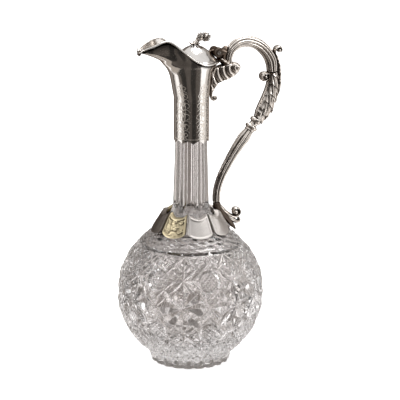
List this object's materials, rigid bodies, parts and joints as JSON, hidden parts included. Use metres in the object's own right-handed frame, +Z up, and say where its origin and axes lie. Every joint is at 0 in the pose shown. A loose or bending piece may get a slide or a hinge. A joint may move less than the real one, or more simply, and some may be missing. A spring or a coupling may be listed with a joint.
{
  "type": "claret jug",
  "caption": "Cut-glass claret jug: star-cut globe on a fluted foot, sliced neck, silver sleeve with a spout, hinged domed lid with a bud finial, lappet calyx and a cast scroll handle.",
  "frame": {"origin": "centre of the foot on the plane the jug stands on", "axes": "+Z up the neck, +X towards the handle, -X towards the spout, +Y to the jug's left seen from the handle's side"},
  "size_m": [0.1542, 0.1318, 0.2998],
  "materials": {
    "cut_glass": "wheel-cut and polished lead crystal",
    "silver": "polished silver with a light warm tarnish",
    "chased_silver": "silver with engraved hatching",
    "silver_gilt": "gilt, chased",
    "cement": "set plaster, not seen"
  },
  "bodies": {
    "jug": {"glass_body": "cut_glass", "neck_sleeve": "silver", "rim_moulding": "silver", "lid_seat_ring": "silver", "sleeve_cement": "cement", "hinge_base": "silver", "hinge_pin": "silver", "handle_upper_scroll": "silver", "handle_bracket": "silver", "bracket_tail": "silver", "inner_volute": "silver", "acanthus_shaft": "silver", "leaf_volute": "silver", "handle_collar": "silver", "fluted_shaft": "silver", "handle_foot": "silver", "foot_scroll": "silver", "calyx_band": "silver", "lappets": "chased_silver", "gilt_lappets": "silver_gilt", "calyx_cement": "cement"},
    "lid": {"lid_dome": "silver", "lid_rim_wire": "silver", "lid_hinge_leaf": "silver", "finial": "silver", "finial_nut": "silver"}
  },
  "joints": [
    {"name": "lid_hinge", "type": "hinge", "parent": "jug", "child": "lid", "pos_m": [0.0236, 0, 0.2804], "axis": [0, 1, 0], "range_deg": [0, 70]}
  ]
}
